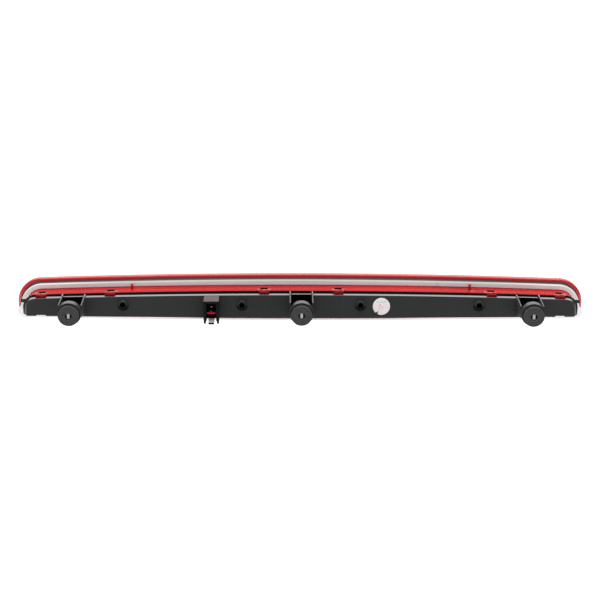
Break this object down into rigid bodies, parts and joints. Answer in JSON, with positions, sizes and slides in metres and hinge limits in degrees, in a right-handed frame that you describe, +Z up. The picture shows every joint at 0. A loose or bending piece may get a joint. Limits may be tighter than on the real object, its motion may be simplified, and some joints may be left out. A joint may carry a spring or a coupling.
{
  "type": "third brake light",
  "caption": "Long arched red lens bar with a foam gasket, a clipped black rear housing, grommet arms and a wiring socket.",
  "frame": {"origin": "middle of the plane where the rear face of the foam gasket meets the tailgate panel, at the lens rim's mid-height", "axes": "+X along the lamp, to the right when it is seen from its rear; +Y out through the lens, away from the vehicle; +Z up"},
  "size_m": [0.582, 0.0825, 0.0476],
  "materials": {
    "red_lens": "clear red acrylic, moulded and polished",
    "black_frame": "fine-grained moulded ABS",
    "foam": "closed-cell foam, skived",
    "black_housing": "satin moulded ABS",
    "connector_black": "satin moulded PBT",
    "grommet_rubber": "moulded EPDM, slightly dusty",
    "seal_rubber": "silicone cord",
    "label_paper": "matt paper sticker",
    "lock_red": "moulded nylon",
    "pin_grey": "moulded nylon",
    "terminal_tin": "tin-plated brass blade",
    "screw_zinc": "zinc-plated steel",
    "board_green": "solder-masked glass-epoxy",
    "led_body": "moulded LED package",
    "chip_black": "moulded epoxy package",
    "metallised": "vacuum-metallised plastic",
    "clear_optic": "clear acrylic"
  },
  "bodies": {
    "root": {"outer_lens": "red_lens", "rim_frame": "black_frame", "foam_gasket": "foam", "rear_housing": "black_housing", "lens_seal": "seal_rubber", "connector_header": "connector_black", "terminal_lock": "lock_red", "terminal_blade_1": "terminal_tin", "terminal_blade_2": "terminal_tin", "led_board": "board_green", "driver_chip": "chip_black", "reverse_polarity_diode": "chip_black", "smoothing_capacitor": "led_body", "ballast_resistor_1": "chip_black", "ballast_resistor_2": "chip_black", "ballast_resistor_3": "chip_black", "reflector": "metallised", "inner_optic": "clear_optic", "inspection_label": "label_paper", "mount_grommet_left": "grommet_rubber", "grommet_pin_left": "pin_grey", "mount_grommet_centre": "grommet_rubber", "grommet_pin_centre": "pin_grey", "mount_grommet_right": "grommet_rubber", "grommet_pin_right": "pin_grey", "housing_screw_1": "screw_zinc", "housing_screw_2": "screw_zinc", "housing_screw_3": "screw_zinc", "housing_screw_4": "screw_zinc", "led_01": "led_body", "led_02": "led_body", "led_03": "led_body", "led_04": "led_body", "led_05": "led_body", "led_06": "led_body", "led_07": "led_body", "led_08": "led_body", "led_09": "led_body", "led_10": "led_body", "led_11": "led_body", "led_12": "led_body", "led_13": "led_body", "led_14": "led_body", "led_15": "led_body", "led_16": "led_body"}
  },
  "joints": []
}
